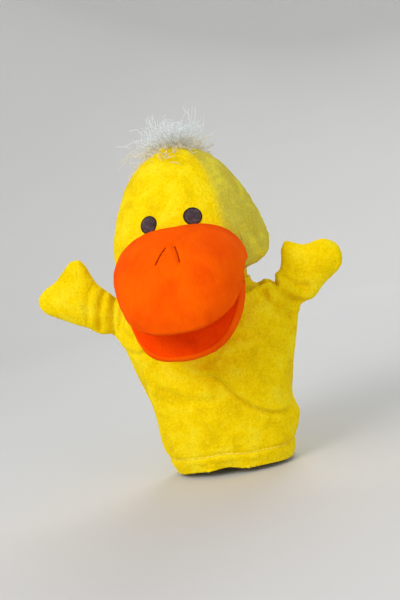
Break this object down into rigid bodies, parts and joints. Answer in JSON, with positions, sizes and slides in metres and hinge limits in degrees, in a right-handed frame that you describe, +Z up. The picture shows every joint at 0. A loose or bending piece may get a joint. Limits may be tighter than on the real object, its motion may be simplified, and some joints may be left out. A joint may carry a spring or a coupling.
{
  "type": "moving mouth glove puppet",
  "caption": "Plush duck glove puppet with a padded bill that a hand inside opens and shuts, a nodding head, and wings that flap.",
  "frame": {"origin": "centre of the hand opening, in the plane of the hem", "axes": "+Z up the sleeve to the crown, -Y the way the face looks, +X the puppet's left, on the right as its face is seen"},
  "size_m": [0.225, 0.1396, 0.2517],
  "materials": {
    "yellow_plush": "short pile plush, slightly lustrous",
    "orange_velour": "smooth short velour",
    "mouth_lining": "smooth velour, redder than the bill",
    "nostril_thread": "satin stitch thread",
    "eye_thread": "satin stitch thread with a darker edge",
    "tuft_fibre": "fine straight pile fibres",
    "tuft_base_cloth": "backing cloth",
    "pocket_lining": "plain woven lining",
    "filling": "polyester fibre filling",
    "mouth_board": "flexible sheet"
  },
  "bodies": {
    "sleeve": {"body_front_panel": "yellow_plush", "body_back_panel": "yellow_plush", "hem_band": "yellow_plush", "hem_stitching": "yellow_plush"},
    "neck": {"neck_sleeve": "yellow_plush"},
    "head": {"face_panel": "yellow_plush", "head_back_panel": "yellow_plush", "head_stuffing": "filling", "head_lining": "pocket_lining", "eye_left": "eye_thread", "eye_right": "eye_thread", "tuft_base": "tuft_base_cloth", "tuft_fibres": "tuft_fibre", "upper_bill_cover": "orange_velour", "upper_bill_stuffing": "filling", "palate_lining": "mouth_lining", "upper_mouth_board": "mouth_board", "finger_pocket": "pocket_lining", "nostril_stitches": "nostril_thread", "mouth_hinge_fold": "mouth_lining"},
    "jaw": {"lower_bill_cover": "orange_velour", "lower_bill_stuffing": "filling", "lower_mouth_lining": "mouth_lining", "lower_mouth_board": "mouth_board", "thumb_pocket": "pocket_lining"},
    "left_wing": {"left_wing_front": "yellow_plush", "left_wing_back": "yellow_plush", "left_wing_stuffing": "filling"},
    "right_wing": {"right_wing_front": "yellow_plush", "right_wing_back": "yellow_plush", "right_wing_stuffing": "filling"}
  },
  "joints": [
    {"name": "neck_turn", "type": "hinge", "parent": "sleeve", "child": "neck", "pos_m": [0, -0.002, 0.132], "axis": [0, 0, 1], "range_deg": [-22, 22]},
    {"name": "head_nod", "type": "hinge", "parent": "neck", "child": "head", "pos_m": [0, -0.002, 0.132], "axis": [1, 0, 0], "range_deg": [-15, 4]},
    {"name": "jaw_open", "type": "hinge", "parent": "head", "child": "jaw", "pos_m": [0, -0.045, 0.144], "axis": [1, 0, 0], "range_deg": [-30, 0]},
    {"name": "left_wing_flap", "type": "hinge", "parent": "sleeve", "child": "left_wing", "pos_m": [-0.0745, -0.002, 0.122], "axis": [0, 1, 0], "range_deg": [-35, 20]},
    {"name": "right_wing_flap", "type": "hinge", "parent": "sleeve", "child": "right_wing", "pos_m": [0.0745, -0.002, 0.122], "axis": [0, -1, 0], "range_deg": [-35, 20]}
  ]
}
